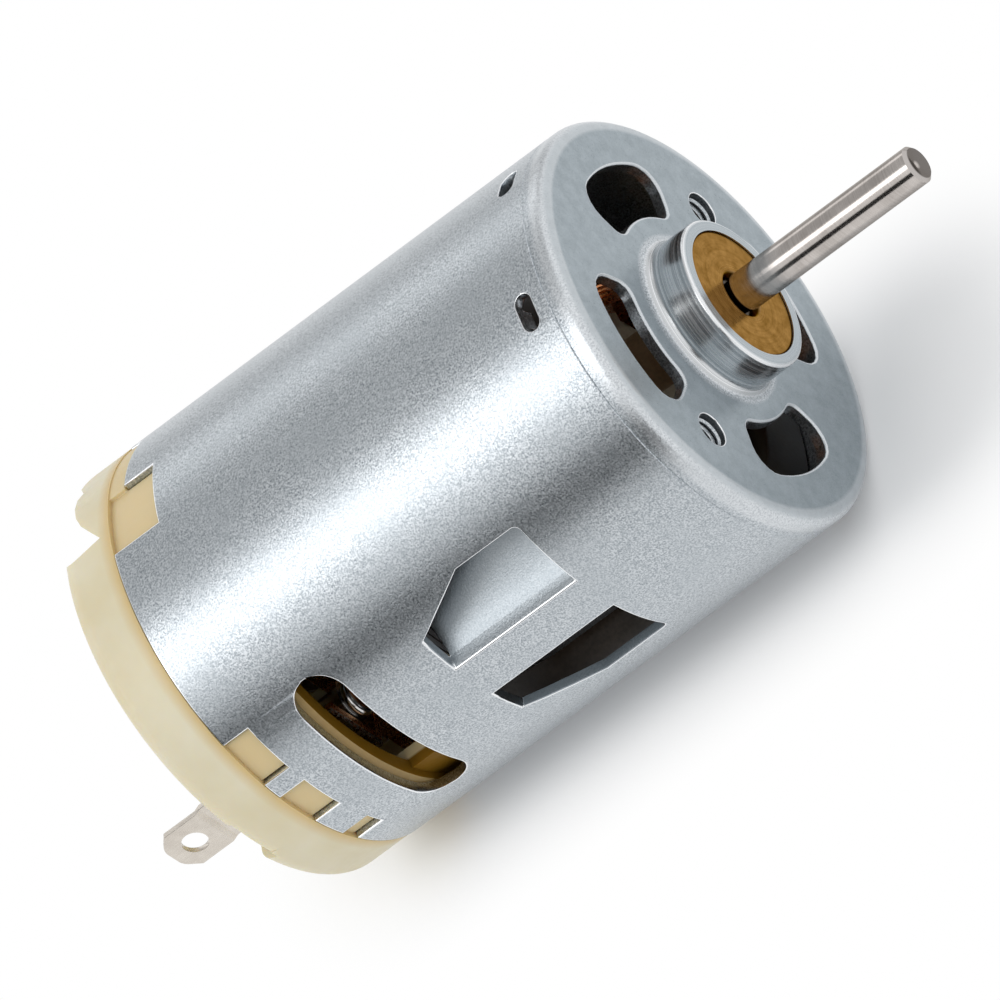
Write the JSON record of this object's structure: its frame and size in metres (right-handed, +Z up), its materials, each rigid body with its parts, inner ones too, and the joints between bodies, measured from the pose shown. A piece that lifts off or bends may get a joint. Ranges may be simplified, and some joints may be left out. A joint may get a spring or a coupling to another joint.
{
  "type": "brushed dc motor",
  "caption": "Small brushed permanent-magnet motor with a drawn steel can, pilot collar, tapped front face, output shaft, nylon end cap and tab terminals.",
  "frame": {"origin": "centre of the front mounting face, on the shaft's axis", "axes": "+X along the shaft towards its free end, +Z up, the terminals on the -Y and +Y sides"},
  "size_m": [0.0793, 0.0358, 0.0358],
  "materials": {
    "plated_steel": "fine-grained zinc-plated drawn sheet",
    "bronze": "sintered bronze, matt",
    "ferrite": "matt ferrite",
    "nylon": "satin natural nylon",
    "spring_steel": "satin",
    "nickel_plate": "satin nickel plate",
    "copper_alloy": "satin copper alloy",
    "bright_steel": "polished",
    "carbon": "matt carbon",
    "shaft_steel": "ground and polished",
    "lamination_steel": "stacked sheet edges",
    "insulation": "matt insulating fibre",
    "resin": "moulded resin",
    "enamelled_wire": "enamelled copper wire",
    "commutator_copper": "turned copper",
    "washer_fibre": "pale fibre"
  },
  "bodies": {
    "housing": {"can": "plated_steel", "front_bearing": "bronze", "magnet_upper": "ferrite", "magnet_lower": "ferrite", "end_cap": "nylon", "rear_bearing": "bronze", "bearing_retainer": "spring_steel", "terminal_near": "nickel_plate", "terminal_far": "nickel_plate", "brush_bracket_near": "copper_alloy", "brush_bracket_far": "copper_alloy", "stop_post_near": "bright_steel", "stop_post_far": "bright_steel"},
    "rotor": {"shaft": "shaft_steel", "lamination_stack": "lamination_steel", "front_insulator": "insulation", "rear_insulator": "insulation", "coil_1": "enamelled_wire", "coil_2": "enamelled_wire", "coil_3": "enamelled_wire", "coil_4": "enamelled_wire", "coil_5": "enamelled_wire", "winding_1": "enamelled_wire", "winding_2": "enamelled_wire", "winding_3": "enamelled_wire", "winding_4": "enamelled_wire", "winding_5": "enamelled_wire", "commutator_hub": "resin", "commutator_bar_1": "commutator_copper", "commutator_bar_2": "commutator_copper", "commutator_bar_3": "commutator_copper", "commutator_bar_4": "commutator_copper", "commutator_bar_5": "commutator_copper", "front_washer": "washer_fibre", "front_spacer": "washer_fibre", "rear_spacer": "washer_fibre", "rear_washer": "washer_fibre"},
    "brush_near": {"brush_leaf_near": "copper_alloy", "carbon_brush_near": "carbon"},
    "brush_far": {"brush_leaf_far": "copper_alloy", "carbon_brush_far": "carbon"}
  },
  "joints": [
    {"name": "rotor_spin", "type": "hinge", "parent": "housing", "child": "rotor", "pos_m": [0, 0, 0], "axis": [1, 0, 0], "continuous": true},
    {"name": "brush_near_flex", "type": "hinge", "parent": "housing", "child": "brush_near", "pos_m": [-0.0393, -0.00784, -0.0092], "axis": [1, 0, 0], "range_deg": [0, 2.2], "stiffness_Nm_per_rad": 0.02, "springref_deg": -5.73},
    {"name": "brush_far_flex", "type": "hinge", "parent": "housing", "child": "brush_far", "pos_m": [-0.0393, 0.00784, 0.0092], "axis": [1, 0, 0], "range_deg": [0, 2.2], "stiffness_Nm_per_rad": 0.02, "springref_deg": -5.73}
  ]
}
